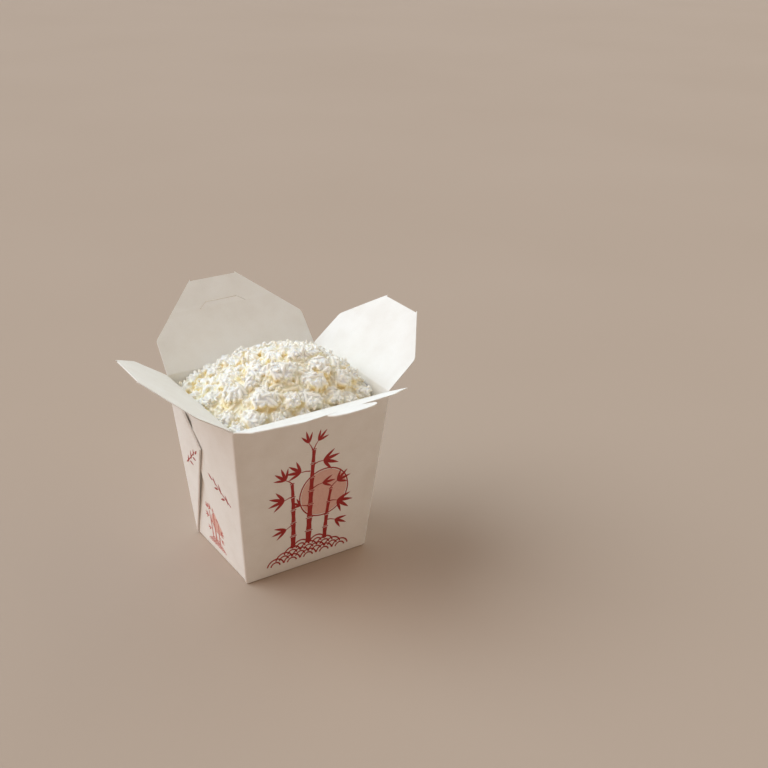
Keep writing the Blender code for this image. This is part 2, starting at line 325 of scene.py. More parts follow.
def sheet(place, outlines, thickness=BOARD, lift=0.0, **cutting):
    """A closed sheet cut to flat outlines and put in place."""
    flat, faces = cut(outlines, **cutting)
    outer = lay(place, flat, lift + thickness / 2)
    inner = lay(place, flat, lift - thickness / 2)
    count = len(flat)
    sides = {(i, j): True for face in faces.tolist() for i, j in zip(face, face[1:] + face[:1])}
    rim = [(j, i, count + i, count + j) for i, j in sides if (j, i) not in sides]
    return np.vstack([outer, inner]), [*faces.tolist(), *(faces[:, ::-1] + count).tolist(), *rim]


def rounded(outline, corners, radius):
    """The outline with some of its corners rounded off."""
    made = []
    for i, p in enumerate(outline):
        if i not in corners:
            made.append(p)
            continue
        p = np.array(p)
        before = unit(np.array(outline[i - 1]) - p)
        after = unit(np.array(outline[(i + 1) % len(outline)]) - p)
        for t in np.linspace(0, 1, 5):
            made.append(tuple(p + radius * (before * (1 - t) ** 2 + after * t**2)))
    return made


def mirrored(half, *middle):
    """An outline from its right half, with what lies between its two halves."""
    return [*half, *middle, *[(-s, t) for s, t in reversed(half)]]


def scaled(points):
    return [(s * UNIT, t * UNIT) for s, t in points]


# ---- carton

def walk(angle, rate, length):
    """How far out and up a line gets from an angle off upright, turning at a rate."""
    middle = angle + rate * length / 2
    reach = length * np.sinc(rate * length / 2 / pi)
    return np.stack(np.broadcast_arrays(reach * np.sin(middle), reach * np.cos(middle)))


def smooth(share):
    """0 to 1 with a soft start and end."""
    share = np.clip(share, 0, 1)
    return share * share * (3 - 2 * share)


BASE_RATE = (pi / 2 - TAPER) / (2 * BASE_FOLD)
BASE_DROP = walk(TAPER, BASE_RATE, 2 * BASE_FOLD)[1]
WALL = BASE_FOLD + (HEIGHT - BOARD / 2 - BASE_DROP) / cos(TAPER)  # crease to base fold


class Panel:
    """A wall with its lid flap, folded from one flat sheet.

    Flat places are (across, up), from the middle of the crease. A panel is drawn facing -Y
    and then turned to its side. rims and bases are (its width, the carton's size across it)
    at the rim and the base. Angles are in degrees.
    """

    def __init__(self, turn, rims, bases, lean, twist=0.0, curl=0.4, bow=0.0, ear_lift=None,
                 inset=(0.0, 0.0), scored=False, tongue=0.0):
        self.turn, self.lean, self.twist, self.tongue = map(radians, (turn, lean, twist, tongue))
        self.rims, self.bases, self.curl, self.bow = rims, bases, curl, bow
        self.ear_lift, self.inset, self.scored = ear_lift, inset, scored

    def half_width(self, z):
        low, high = self.bases[0] / 2, self.rims[0] / 2
        return low + (high - low) * np.clip(z, 0.0, HEIGHT) / HEIGHT - BOARD / 2

    def path(self, across, up):
        """How far out and how high the sheet's middle is."""
        lean = self.lean + self.twist * across / (self.rims[0] / 2)
        lean = lean + self.tongue * smooth((up / UNIT - TONGUE_BEND[0]) / TONGUE_BEND[1])
        down = np.clip(-CREASE - up, 0, None)
        straight = WALL - CREASE - BASE_FOLD
        under = np.clip(down - straight - 2 * BASE_FOLD, 0, None)
        spot = (walk(TAPER, (lean - TAPER) / (2 * CREASE), np.clip(up + CREASE, 0.0, 2 * CREASE))
                + walk(lean, self.curl, np.clip(up - CREASE, 0, None))
                - walk(TAPER, 0.0, np.minimum(down, straight))
                - walk(TAPER, BASE_RATE, np.clip(down - straight, 0.0, 2 * BASE_FOLD))
                - walk(pi / 2, 0.0, under))
        start = walk(TAPER, 0.0, CREASE)
        inset = self.inset[0] + (self.inset[1] - self.inset[0]) * smooth(-up / INSET_FADE)
        out = self.rims[1] / 2 - BOARD / 2 - start[0] + spot[0] - inset
        return out, HEIGHT - start[1] + spot[1]

    def turned(self, flat, x, out, z):
        """Points with the flap's swelling and scored line, turned to the panel's side."""
        across, up = flat.T
        lift = self.bow * (across / (self.rims[0] / 2)) ** 2
        if self.scored:
            lift = lift - SCORE_DEPTH * np.exp(-(((up - SCORE * UNIT) / SCORE_WIDTH) ** 2))
        lift = lift * smooth(up / SWELL_FADE) * (up > 0)
        out, z = out + lift * cos(self.lean), z - lift * sin(self.lean)
        sine, cosine = sin(self.turn), cos(self.turn)
        return np.stack([x * cosine + out * sine, x * sine - out * cosine, z], axis=1)

    def straight(self, flat):
        """Points of a panel without ears."""
        return self.turned(flat, flat[:, 0], *self.path(*flat.T))

    def __call__(self, flat):
        """Points of a panel that turns round the corners into its ears."""
        across, up = flat.T
        out, z = self.path(across, up)
        wide = self.half_width(z)
        length = np.abs(across)
        past = np.clip(length - wide - CORNER, 0, None)
        on_wall = up < -CREASE
        bend = np.clip((length - wide + CORNER) / (2 * CORNER), 0, 1) * pi / 2 * on_wall
        x = np.where(on_wall, np.minimum(length, wide - CORNER), length)
        x = x + CORNER * np.sin(bend) * on_wall + self.ear_lift(past) * on_wall
        back = CORNER * (1 - np.cos(bend)) + past * on_wall
        swell = 1 - np.clip(length / wide, 0, 1) ** 2
        swell = swell * np.sin(pi * np.clip(z / HEIGHT, 0, 1))
        out = out + BULGE * swell * (up < 0) - back
        return self.turned(flat, np.sign(across) * x, out, z)

    def flat_on_ear(self, y, z):
        """Where a point (y, z) of a side wall, in shares of UNIT, lies on the flat sheet."""
        z = z * UNIT
        depth = (self.bases[1] + (self.rims[1] - self.bases[1]) * z / HEIGHT) / 2
        across = float(self.half_width(z)) + y * UNIT + depth - BOARD / 2
        return across, (z - HEIGHT) / cos(TAPER)

    def corner(self, up):
        """How far across the sheet its corner is."""
        return float(self.half_width(HEIGHT + up))


def fold_panel(name, panel, parts, finish):
    """A panel's piece, built in place, with the carton's and the flap's own solids hidden."""
    piece, flap = build("panel_" + name, parts, finish), "flap_" + name
    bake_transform(piece)
    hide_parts("carton", flap)
    return panel


def half_flap(half_crease, corners):
    """The right half of a flap's outline, from the end of its crease."""
    return [(half_crease - CORNER_GAP, -TRIM), *scaled(corners)]


def tongue():
    """The locking tongue from right to left, its right slit open and its left one closed."""
    points = list(TONGUE_RIGHT)
    for turn in np.linspace(0.30, pi - 0.30, 22):
        points.append((TONGUE_MIDDLE + TONGUE_HALF * cos(turn),
                       TONGUE_LOW + (TONGUE_TOP - TONGUE_LOW) * sin(turn)))
    return scaled(points + TONGUE_LEFT)


def bead(panel, fold, side):
    """The rounded fold between an ear's two layers, along a line on the flat sheet."""
    line = np.array(split_long(fold, 0.0012))
    line[:, 0] *= side
    middle = panel(line)
    normal = (lay(panel, line, 0.001) - middle) / 0.001
    run = unit(np.gradient(middle, axis=0))
    out = unit(np.cross(run, normal) * side)
    centre = middle - normal * PLY / 2
    section = []
    for radius, turns in (((PLY + BOARD) / 2, np.linspace(-pi / 2, pi / 2, 11)),
                          (PLY_GAP / 2, np.linspace(pi / 2, -pi / 2, 4))):
        section += [out * cos(t) * radius + normal * sin(t) * radius for t in turns]
    rings = np.stack([centre + offset for offset in section], axis=1)
    count, size = rings.shape[:2]
    faces = []
    for i in range(count - 1):
        for j in range(size):
            k = (j + 1) % size
            faces.append((i * size + j, (i + 1) * size + j, (i + 1) * size + k, i * size + k))
    faces += [tuple(range(size)), tuple(range((count - 1) * size, count * size))[::-1]]
    if side > 0:
        faces = [face[::-1] for face in faces]
    return rings.reshape(-1, 3), faces


def ear_lines(panel, fold, top):
    """An ear's fold, up to its bead, and its top edge on the flat sheet."""
    pull = (PLY + BOARD) / 2
    fold = [panel.flat_on_ear(y, z) for y, z in fold]
    fold = [(max(x - pull, panel.corner(-HEIGHT)), max(up, -WALL + BASE_FOLD)) for x, up in fold]
    return fold, [panel.flat_on_ear(y, z) for y, z in top]


def inner_ply(panel, fold, top):
    """The hidden layer of both ears, a little short of the outer one at its top."""
    clear = 0.0016  # of the corner
    foot = next((x, up) for x, up in split_long(fold, 0.001)
                if x > panel.corner(up) + clear + 0.0002)
    low = (panel.corner(foot[1]) + clear, foot[1])
    rest = [p for p in fold if p[1] > foot[1]]
    top, last = [(x, up - 0.0004) for x, up in top[:-1]], top[-1][1]
    outline = [low, foot, *rest, *top, (panel.corner(last) + clear, last - 0.0006)]
    return [sheet(panel, [[(side * x, up) for x, up in outline]], lift=-PLY) for side in (-1, 1)]


def level_lines(half_width, levels):
    """Lines across a panel, to keep its mesh fine there."""
    return [[(-half_width, up), (half_width, up)] for up in levels]


def crease_lines(half_width):
    return level_lines(half_width, np.linspace(-CREASE, CREASE, 5))


def base_lines(half_width):
    return level_lines(half_width, [-WALL + s for s in np.linspace(-BASE_FOLD, BASE_FOLD, 7)])


def corner_lines(panel):
    """Lines to keep the mesh fine where the sheet bends round its corners."""
    top, low = -0.0012, -WALL + BASE_FOLD + 0.0004
    return [[(side * (panel.corner(up) + shift), up) for up in (top, low)]
            for side in (-1, 1) for shift in np.linspace(-CORNER, CORNER, 7)]


def eared_panel(name, panel, ear, floor_length, flap, finish, marks=(), holes=()):
    """The front or back panel, with its ears: flap is the outline beyond the crease."""
    fold, top = ear_lines(panel, *ear)
    low = panel.corner(-HEIGHT)
    half = [
        (BASE_HALF, -WALL - floor_length),
        (BASE_HALF, -WALL - BASE_FOLD * 0.9),
        (low - CORNER, -WALL + BASE_FOLD),
        (low, -WALL + BASE_FOLD + TRIM),
        *fold[1:],
        *top,
        (panel.rims[0] / 2 - CORNER_GAP, -CREASE * 0.9),
    ]
    lines = [*crease_lines(RIM_WIDTH / 2 - CORNER_GAP - TRIM), *corner_lines(panel),
             *base_lines(BASE_HALF - TRIM), *marks]
    parts = [bead(panel, fold, side) for side in (-1, 1)]
    parts.append(sheet(panel, [mirrored(half, *flap)], lines=lines, holes=holes))
    return fold_panel(name, panel, parts + inner_ply(panel, fold, top), finish)


def make_front(finish):
    def ear_lift(reach):
        return 0.0005 * np.sin(pi * np.clip(reach / (0.56 * UNIT), 0, 1))

    panel = Panel(0, RIM, BASE, LEANS["front"], twist=-2.6, curl=0.1, ear_lift=ear_lift,
                  tongue=1.1)
    flap = mirrored(half_flap(RIM_WIDTH / 2, FRONT_OUTLINE), *tongue())
    flap = rounded(flap, {1, 2, len(flap) - 3, len(flap) - 2}, 0.0020)
    return eared_panel("front", panel, FRONT_EAR, FLOOR_LENGTH, flap, finish)


def make_back(finish):
    def ear_lift(reach):
        return 0.0022 * np.clip(reach / (0.40 * UNIT), 0.0, 1.2) ** 1.3

    panel = Panel(180, RIM, BASE, LEANS["back"], twist=0.8, curl=0.5, bow=-0.0006,
                  ear_lift=ear_lift, scored=True)
    flap = mirrored(rounded(half_flap(RIM_WIDTH / 2, BACK_OUTLINE), {1, 2}, FLAP_ROUND))
    marks = level_lines(SCORE_REACH * UNIT,
                        [SCORE * UNIT + s for s in (-0.0009, -0.0004, 0.0004, 0.0009)])
    path = np.array(scaled(SLIT_PATH))
    half = (0, SLIT_WIDTH / 2)
    slit = [*map(tuple, path - half), *map(tuple, (path + half)[::-1])]
    return eared_panel("back", panel, BACK_EAR, BASE_FOLD, flap, finish, marks, [slit])


def make_side(name, turn, twist, finish):
    panel = Panel(turn, (RIM_DEPTH - 2.2 * BOARD, RIM_WIDTH), (BASE_DEPTH - 2.2 * BOARD, BASE_WIDTH),
                  LEANS[name], twist=twist, curl=0.3, bow=0.0005, inset=(0.0004, EAR_DEPTH))
    low, high = BASE_DEPTH / 2 - 1.2 * BOARD, RIM_DEPTH / 2 - 1.2 * BOARD
    half = [(low, -WALL - BASE_FOLD), (low, -WALL), (high, -CREASE)]
    half += rounded(half_flap(RIM_DEPTH / 2, SIDE_OUTLINE), {1, 2}, FLAP_ROUND)
    lines = crease_lines(high - TRIM) + base_lines(low - TRIM)
    return fold_panel(name, panel, [sheet(panel.straight, [mirrored(half)], lines=lines)], finish)


# ---- print

INK = 0.00003  # thickness
DISC, DISC_SIZE, DISC_RING, DISC_SIDES = (0.085, 0.49), 0.150, (0.163, 0.155), 56
STALKS = [  # x, low, high, width, sway, nodes
    (-0.005, 0.155, 0.800, 0.040, 0.012, 7),
    (-0.105, 0.150, 0.610, 0.034, -0.022, 5),
    (0.105, 0.150, 0.500, 0.030, 0.026, 4),
]
TWIGS = [  # x, z, angle, leaves, length of a leaf
    (0.002, 0.795, 62, 3, 0.085), (0.000, 0.795, 118, 3, 0.085),
    (0.010, 0.700, 8, 4, 0.120), (-0.012, 0.660, 172, 4, 0.110),
    (-0.122, 0.605, 140, 4, 0.100), (-0.112, 0.520, 190, 4, 0.115),
    (0.125, 0.500, 42, 4, 0.100), (0.118, 0.415, -12, 4, 0.120),
    (-0.098, 0.330, 206, 3, 0.100), (0.012, 0.540, 14, 3, 0.090),
    (0.112, 0.285, -16, 3, 0.095), (-0.010, 0.420, 160, 3, 0.075),
]
SPRIGS = [("front", (-0.16, 0.54), 12), ("back", (-0.20, 0.60), 30)]  # panel, place, angle
SPRIG_LEAVES = [  # x, angle, length
    (-0.09, 48, 0.060), (-0.05, -34, 0.056), (-0.01, 52, 0.064),
    (0.03, -28, 0.056), (0.06, 50, 0.052), (0.10, 14, 0.058),
]


def leaf(x, z, angle, length, width):
    """A pointed leaf from (x, z)."""
    along = np.linspace(0.0, 1.0, 9)
    half = width / 2 * np.sin(pi * along**0.8) ** 0.9
    edge = [(s * length, h) for s, h in zip(along, half)]
    edge += [(s, -h) for s, h in edge[-2:0:-1]]
    sine, cosine = sin(radians(angle)), cos(radians(angle))
    return [(x + s * cosine - h * sine, z + s * sine + h * cosine) for s, h in edge]


def stroke(points, widths):
    """A band along points, as wide at each as widths says."""
    line = np.array(points, float)
    run = unit(np.gradient(line, axis=0))
    side = np.stack([-run[:, 1], run[:, 0]], axis=1) * np.array(widths, float)[:, None] / 2
    return [*map(tuple, line + side), *map(tuple, (line - side)[::-1])]


def arc(x, z, radius, turns):
    return [(x + radius * cos(t), z + radius * sin(t)) for t in turns]


def disc(radius):
    return arc(*DISC, radius, np.linspace(0.0, 2 * pi, DISC_SIDES, endpoint=False))


def stalk(x, low, high, width, sway, nodes):
    """A bamboo stalk in waisted lengths with a ring at each node."""
    shapes, gap = [], 0.006
    levels = np.linspace(low, high, nodes + 1)
    for a, b in zip(levels, levels[1:]):
        size = width * (1 - 0.45 * (a - low) / (high - low))
        middle = (a + b) / 2
        first, second, third = (x + sway * ((z - low) / (high - low)) ** 2 for z in (a, middle, b))
        shapes.append(stroke([(first, a + gap), (second, middle), (third, b - gap)],
                             [size, size * 0.82, size]))
        ring = size * 0.66
        shapes.append(stroke([(third - ring, b - 0.001), (third, b + 0.001),
                              (third + ring, b - 0.001)], [0.0055] * 3))
    return shapes


def spray(x, z, angle, leaves, length):
    """A twig with a fan of leaves at its end."""
    sine, cosine = sin(radians(angle)), cos(radians(angle))
    tip = (x + 0.06 * cosine, z + 0.06 * sine)
    middle = ((x + tip[0]) / 2, (z + tip[1]) / 2 + 0.004)
    shapes = [stroke([(x, z), middle, tip], [0.008, 0.006, 0.004])]
    for i in range(leaves):
        place = i - (leaves - 1) / 2
        size = length * (1 - 0.13 * abs(place))
        shapes.append(leaf(*tip, angle + 30 * place - 14, size, size * 0.20))
    return shapes


def waves(low, rows, radius, reach):
    """Rows of overlapping wave scales, two arcs each."""
    shapes = []
    for row in range(rows):
        z = low + row * radius * 0.52
        count = int(round(reach * (1 - 0.22 * row) / radius))
        for i in range(-count, count + 1):
            if (i + row) % 2 == 0:
                for size in (1.0, 0.56):
                    turns = np.linspace(0.18, pi - 0.18, 15)
                    shapes.append(stroke(arc(i * radius, z, radius * size, turns), [0.009] * 15))
    return shapes


def design():
    """The print: bamboo in front of a rising disc, over a strip of waves."""
    shapes = waves(0.058, 4, 0.054, 0.27)
    outer, inner = map(disc, DISC_RING)
    for i in range(DISC_SIDES):
        j = (i + 1) % DISC_SIDES
        shapes.append([outer[i], outer[j], inner[j], inner[i]])
    for row in STALKS:
        shapes += stalk(*row)
    for row in TWIGS:
        shapes += spray(*row)
    return shapes, [disc(DISC_SIZE)]


def sprig():
    """The small leaf ornament on the ears."""
    shapes = [stroke([(-0.12, -0.016), (-0.02, 0.0), (0.10, 0.026)], [0.007, 0.007, 0.005])]
    for s, angle, size in SPRIG_LEAVES:
        shapes.append(leaf(s, -0.006 + s * 0.2, angle, size, size * 0.26))
    return shapes


def ink(name, place, shapes, finish, level):
    """Flat shapes as a thin closed layer on the outside of the board."""
    lift = BOARD / 2 + INK / 2 + level * INK * 0.8
    part = sheet(place, shapes, thickness=INK, lift=lift, step=0.003)
    made = build(name, [part], finish)
    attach(made, "carton")


def on_wall(shapes, size, right, up):
    """Shapes drawn as (x, z) in shares of UNIT, on a panel's flat sheet."""
    return [[((x * size + right) * UNIT, ((z * size + up) * UNIT - HEIGHT) / cos(TAPER))
             for x, z in shape] for shape in shapes]


def on_ear(panel, shapes, side, shift, turn):
    """Shapes drawn as (y, z) in shares of UNIT, turned and moved onto an ear."""
    sine, cosine = sin(radians(turn)), cos(radians(turn))
    made = []
    for shape in shapes:
        spots = [(shift[0] + x * cosine - z * sine, shift[1] + x * sine + z * cosine)
                 for x, z in shape]
        made.append([(side * a, b) for a, b in (panel.flat_on_ear(y, z) for y, z in spots)])
    return made


# ---- rice

# The heap, in shares of UNIT; u and v run from -1 to 1 from wall to wall
CORNER_LEVELS = [(-1, -1, -0.035), (1, -1, -0.12), (1, 1, -0.03), (-1, 1, -0.08)]  # u, v, level
DOME_HEIGHT, DOME_POWER, DOME_ROUND = 0.290, 1.72, 0.65
DOME_SHIFT, BACK_BULGE = (-0.20, 0.30), 0.112
HOLLOW, HOLLOW_REACH, HOLLOW_DEPTH = (-0.35, 0.62), 0.55, 0.032
GAP = 0.0006  # between the rice and the board
CORE_DROP = 0.0038  # of the core below the heap's surface
CORE_CELLS = 70, 60
CUT_LEVEL = 0.0180  # below the rim

# The clumps that show most: share of the way to the walls, and radius in mm
CLUMPS = [
    (0.31, 0.24, 4.6), (0.12, 0.50, 6.0), (-0.12, -0.41, 8.0), (-0.33, -0.20, 6.0),
    (-0.25, 0.72, 5.4), (-0.51, 0.76, 6.0), (-0.68, -0.28, 7.2), (-0.83, 0.04, 6.2),
    (-0.91, 0.41, 5.2), (-0.51, -0.65, 7.2), (0.18, -0.72, 5.6), (0.34, -0.51, 6.2),
    (0.04, -0.88, 6.2), (-0.20, -0.84, 4.4), (-0.70, -0.84, 6.2), (-0.94, -0.58, 5.0),
    (-0.40, -0.94, 5.2), (0.33, -0.89, 5.0), (0.80, -0.80, 4.8), (0.57, -0.66, 6.2),
    (0.19, -0.20, 6.0), (-0.50, -0.32, 4.4), (-0.73, 0.60, 4.6), (-0.89, 0.80, 4.2),
    (0.54, -0.92, 4.4), (-0.10, -0.96, 4.4), (-0.90, -0.88, 4.6), (0.18, -0.96, 4.0),
    (-0.02, 0.05, 6.4), (-0.50, 0.22, 6.6), (-0.14, 0.42, 6.0), (-0.62, 0.42, 5.4),
    (0.42, -0.12, 6.2), (0.66, -0.36, 6.0),
]
MORE_CLUMPS, CLUMP_TRIES = 60, 30
CLUMP_SPACE, CLUMP_SHARE, CLUMP_SIZES = 0.0070, 0.66, (0.0044, 0.0064)  # for those added
CLUMP_SINK, CLUMP_FLAT = 0.62, 0.84  # shares of a clump's radius
CLUMP_ROUGH, CLUMP_WAVES, CLUMP_PITCH = 0.055, 5, 2.3
CLUMP_NEAR, CLUMP_COVER = 0.016, 0.0010  # how near one hides another's grains, and how deep
KNOBS, KNOB_CORE, KNOB_SIZE, KNOB_OUT = 5, 0.84, (0.38, 0.56), (0.48, 0.62)
KNOB_TURN, KNOB_LIFT = 0.4, (-0.15, 0.55)
GRAIN_LENGTH, GRAIN_RADIUS = 0.0074, 0.00108
GRAIN_LENGTHS, GRAIN_RADII = (0.80, 1.06), (0.88, 1.08)  # smallest and largest share
GRAIN_SHAPES = [(0.0, 0.62), (0.35, 0.55), (-0.45, 0.66), (0.6, 0.58)]  # bend and bluntness
GRAIN_AREA = 6.6e-6  # of a clump's surface for each grain
GRAIN_LOW, GRAIN_RISE = 0.0002, 0.0010  # how far grains stand out of the surface
LYING, LYING_TILT, STANDING_TILT = 0.66, 11, (24, 62)  # share that lies flat; degrees
GROUND_GRAINS, GROUND_LIFT, GROUND_SCORE = 1500, 0.0007, 0.6  # between the clumps
LOOSE_GRAINS, LOOSE_SWELL = (1150, 1150), 1.04
HIGH_SCORE, SCORE_GAIN = 0.9, 1.3  # of the grains that show most
FRONT_LINE, FRONT_SLANT = -0.004, 0.15  # y of the front half's end, and how far it turns with x
RINGS, SIDES = 9, 8  # of a grain
VOXEL = 0.00052
# Rays, reach and smoothing passes of the cover that places the rice's painted shade
COVER_RAYS, COVER_REACH, COVER_PASSES = 18, 0.0095, 4


def crown(share):
    return np.clip(1 - np.abs(share) ** DOME_POWER, 0, 1) ** DOME_ROUND


def dome(u, v):
    """The height of the heap's surface."""
    level = sum(height * (1 + x * u) * (1 + y * v) for x, y, height in CORNER_LEVELS)
    rise = crown(u + DOME_SHIFT[0] * (1 - u**2)) * crown(v + DOME_SHIFT[1] * (1 - v**2))
    bulge = BACK_BULGE * (1 - u**2) * np.clip(v, 0, 1) ** 2
    away = ((u - HOLLOW[0]) ** 2 + (v - HOLLOW[1]) ** 2) / HOLLOW_REACH**2
    hollow = HOLLOW_DEPTH * np.exp(-away)
    return HEIGHT + UNIT * (level / 4 + DOME_HEIGHT * rise + bulge - hollow)


def room(z):
    """Half sizes of the space for rice at z."""
    share = np.minimum(z, HEIGHT) / HEIGHT
    wide = (BASE_WIDTH + (RIM_WIDTH - BASE_WIDTH) * share) / 2 - SIDE_WALL - GAP
    deep = (BASE_DEPTH + (RIM_DEPTH - BASE_DEPTH) * share) / 2 - BOARD - GAP
    return wide, deep


def fitted(points, margin=0.0):
    """The x and y of points, kept in the space for rice."""
    halves = np.stack(room(points[:, 2]), axis=1) - margin
    return np.clip(points[:, :2], -halves, halves)


def directions(turns, level):
    flat = np.sqrt(1 - level**2)
    return np.stack([flat * np.cos(turns), flat * np.sin(turns), level], axis=1)


def heap_point(u, v, drop=0.0):
    z = dome(u, v) - drop
    wide, deep = room(z)
    return np.stack([u * wide, v * deep, z], axis=-1)


def heap_normal(u, v):
    step = 0.02
    across = heap_point(u + step, v) - heap_point(u - step, v)
    along = heap_point(u, v + step) - heap_point(u, v - step)
    return unit(np.cross(across, along))


class Clumps:
    """Boulders of stuck grains piled on the heap."""

    def __init__(self, draw):
        wide, deep = room(HEIGHT)
        places = [(u, v) for u, v, _ in CLUMPS]
        sizes = [size / 1000 for _, _, size in CLUMPS]
        for _ in range(MORE_CLUMPS):
            # The freest of a few places at the back or right, where few are listed
            options = draw.uniform(-0.97, 0.97, (CLUMP_TRIES, 2))
            options = options[(options[:, 1] > 0.05) | (options[:, 0] > 0.62)]
            spots = options[:, None] * (wide, deep) - np.array(places)[None] * (wide, deep)
            gaps = np.linalg.norm(spots, axis=2).min(axis=1)
            best = int(np.argmax(gaps))
            if gaps[best] >= CLUMP_SPACE:
                places.append(tuple(options[best]))
                sizes.append(float(np.clip(gaps[best] * CLUMP_SHARE, *CLUMP_SIZES)))
        u, v = np.array(places).T
        self.radius = np.array(sizes)
        self.up = unit(heap_normal(u, v) * 0.6 + np.array([0.0, 0.0, 0.4]))
        self.centre = heap_point(u, v) - self.up * (self.radius * CLUMP_SINK)[:, None]
        self.add_knobs(draw)
        count = len(self.radius)
        self.waves = draw.normal(0, 1, (count, CLUMP_WAVES, 3)) * CLUMP_PITCH
        self.phases = draw.uniform(0, 2 * pi, (count, CLUMP_WAVES))

    def add_knobs(self, draw):
        """Smaller lumps stuck to each clump."""
        count = len(self.radius)
        radius, centre = [self.radius * KNOB_CORE], [self.centre]
        first = draw.uniform(0, 2 * pi, count)
        for k in range(KNOBS):
            turn = first + 2 * pi * k / KNOBS + draw.uniform(-KNOB_TURN, KNOB_TURN, count)
            way = directions(turn, draw.uniform(*KNOB_LIFT, count))
            size = self.radius * draw.uniform(*KNOB_SIZE, count)
            spot = self.centre + way * (self.radius * draw.uniform(*KNOB_OUT, count))[:, None]
            spot[:, :2] = fitted(spot, size[:, None] * 0.6)
            radius.append(size)
            centre.append(spot)
        self.radius, self.centre = np.concatenate(radius), np.vstack(centre)
        self.up = np.tile(self.up, (KNOBS + 1, 1))

    def reach(self, i, ways):
        """How far clump i reaches from its centre in some directions."""
        rough = np.sin(ways @ self.waves[i].T + self.phases[i]).sum(axis=1) * CLUMP_ROUGH
        lift = ways @ self.up[i]
        return self.radius[i] * (1 + rough) * (1 - (1 - CLUMP_FLAT) * lift**2)

    def lowness(self, points):
        """How low points lie on their clump, from 0 near its top to 1 at its foot, for the rice's
        painted shade.
        """
        best, low = np.full(len(points), np.inf), np.zeros(len(points))
        for centre, radius in zip(self.centre, self.radius):
            offset = (points - centre) / radius
            far = np.linalg.norm(offset, axis=1)
            nearer = far < best
            best[nearer] = far[nearer]
            low[nearer] = (0.75 - offset[nearer, 2]) / 0.9
        return np.clip(np.where(best > 1.5, 1.0, low), 0, 1)

    def hidden(self, i, points):
        """Which points lie deep in a clump other than clump i."""
        found = np.zeros(len(points), bool)
        for j in range(len(self.radius)):
            apart = self.centre[i] - self.centre[j]
            if j != i and (i < 0 or np.linalg.norm(apart) < CLUMP_NEAR):
                offset = points - self.centre[j]
                far = np.linalg.norm(offset, axis=1)
                found |= far < self.reach(j, offset / far[:, None]) - CLUMP_COVER
        return found


def even_directions(count, turn):
    """Directions spread evenly over a sphere."""
    level = 1 - (2 * np.arange(count) + 1) / count
    return directions(turn + np.arange(count) * pi * (3 - sqrt(5)), level)


def ball_mesh():
    """The points and triangles of a sphere of radius one."""
    ball = bmesh.new()
    bmesh.ops.create_icosphere(ball, subdivisions=3, radius=1.0)
    points = np.array([v.co for v in ball.verts])
    faces = np.array([[v.index for v in f.verts] for f in ball.faces])
    ball.free()
    return points, faces


def core_mesh():
    """The heap under its clumps, down past the level of the cut."""
    wide_cells, deep_cells = CORE_CELLS
    u, v = np.meshgrid(np.linspace(-1, 1, wide_cells + 1), np.linspace(-1, 1, deep_cells + 1))
    top = heap_point(u, v, CORE_DROP)
    low = HEIGHT - CUT_LEVEL - 0.004
    wide, deep = room(low)
    bottom = np.stack([u * wide, v * deep, np.full(u.shape, low)], axis=-1)
    row, size, last = wide_cells + 1, u.size, deep_cells * (wide_cells + 1)
    starts = [k for j in range(deep_cells) for k in range(j * row, j * row + wide_cells)]
    faces = [(k, k + 1, k + row + 1, k + row) for k in starts]
    faces += [tuple(size + k for k in face[::-1]) for face in faces]
    ring = [*range(wide_cells), *range(wide_cells, last + wide_cells, row),
            *range(last + wide_cells, last, -1), *range(last, 0, -row)]
    faces += [(size + a, size + b, b, a) for a, b in zip(ring, ring[1:] + ring[:1])]
    return np.vstack([top.reshape(-1, 3), bottom.reshape(-1, 3)]), faces


def grain_shape(bend, blunt):
    """One slightly bent grain along X, in rings between two tips."""
    points = [(-0.5, 0.0, 0.0)]
    for turn in np.linspace(0.16, pi - 0.16, RINGS):
        x = -0.5 * cos(turn)
        size = sin(turn) ** blunt
        for k in range(SIDES):
            side = 2 * pi * k / SIDES
            points.append((x, size * cos(side), size * sin(side) * 0.88))
    points.append((0.5, 0.0, 0.0))
    points = np.array(points)
    faces = [(0, 1 + (k + 1) % SIDES, 1 + k) for k in range(SIDES)]
    for i in range(RINGS - 1):
        for k in range(SIDES):
            a, b = 1 + i * SIDES + k, 1 + i * SIDES + (k + 1) % SIDES
            faces += [(a, b, b + SIDES), (a, b + SIDES, a + SIDES)]
    tip = len(points) - 1
    faces += [(tip, tip - SIDES + k, tip - SIDES + (k + 1) % SIDES) for k in range(SIDES)]
    points[:, 1] += bend * (4 * points[:, 0] ** 2 - 0.5)
    return points, np.array(faces)


def grain_frames(normal, turn, tilt):
    """For each grain the directions of its length, width and thickness."""
    side = unit(np.cross(normal, np.array([0.31, 0.94, 0.14])))
    other = np.cross(normal, side)
    flat = side * np.cos(turn)[:, None] + other * np.sin(turn)[:, None]
    length = flat * np.cos(tilt)[:, None] + normal * np.sin(tilt)[:, None]
    width = np.cross(normal, flat)
    return length, width, np.cross(length, width)


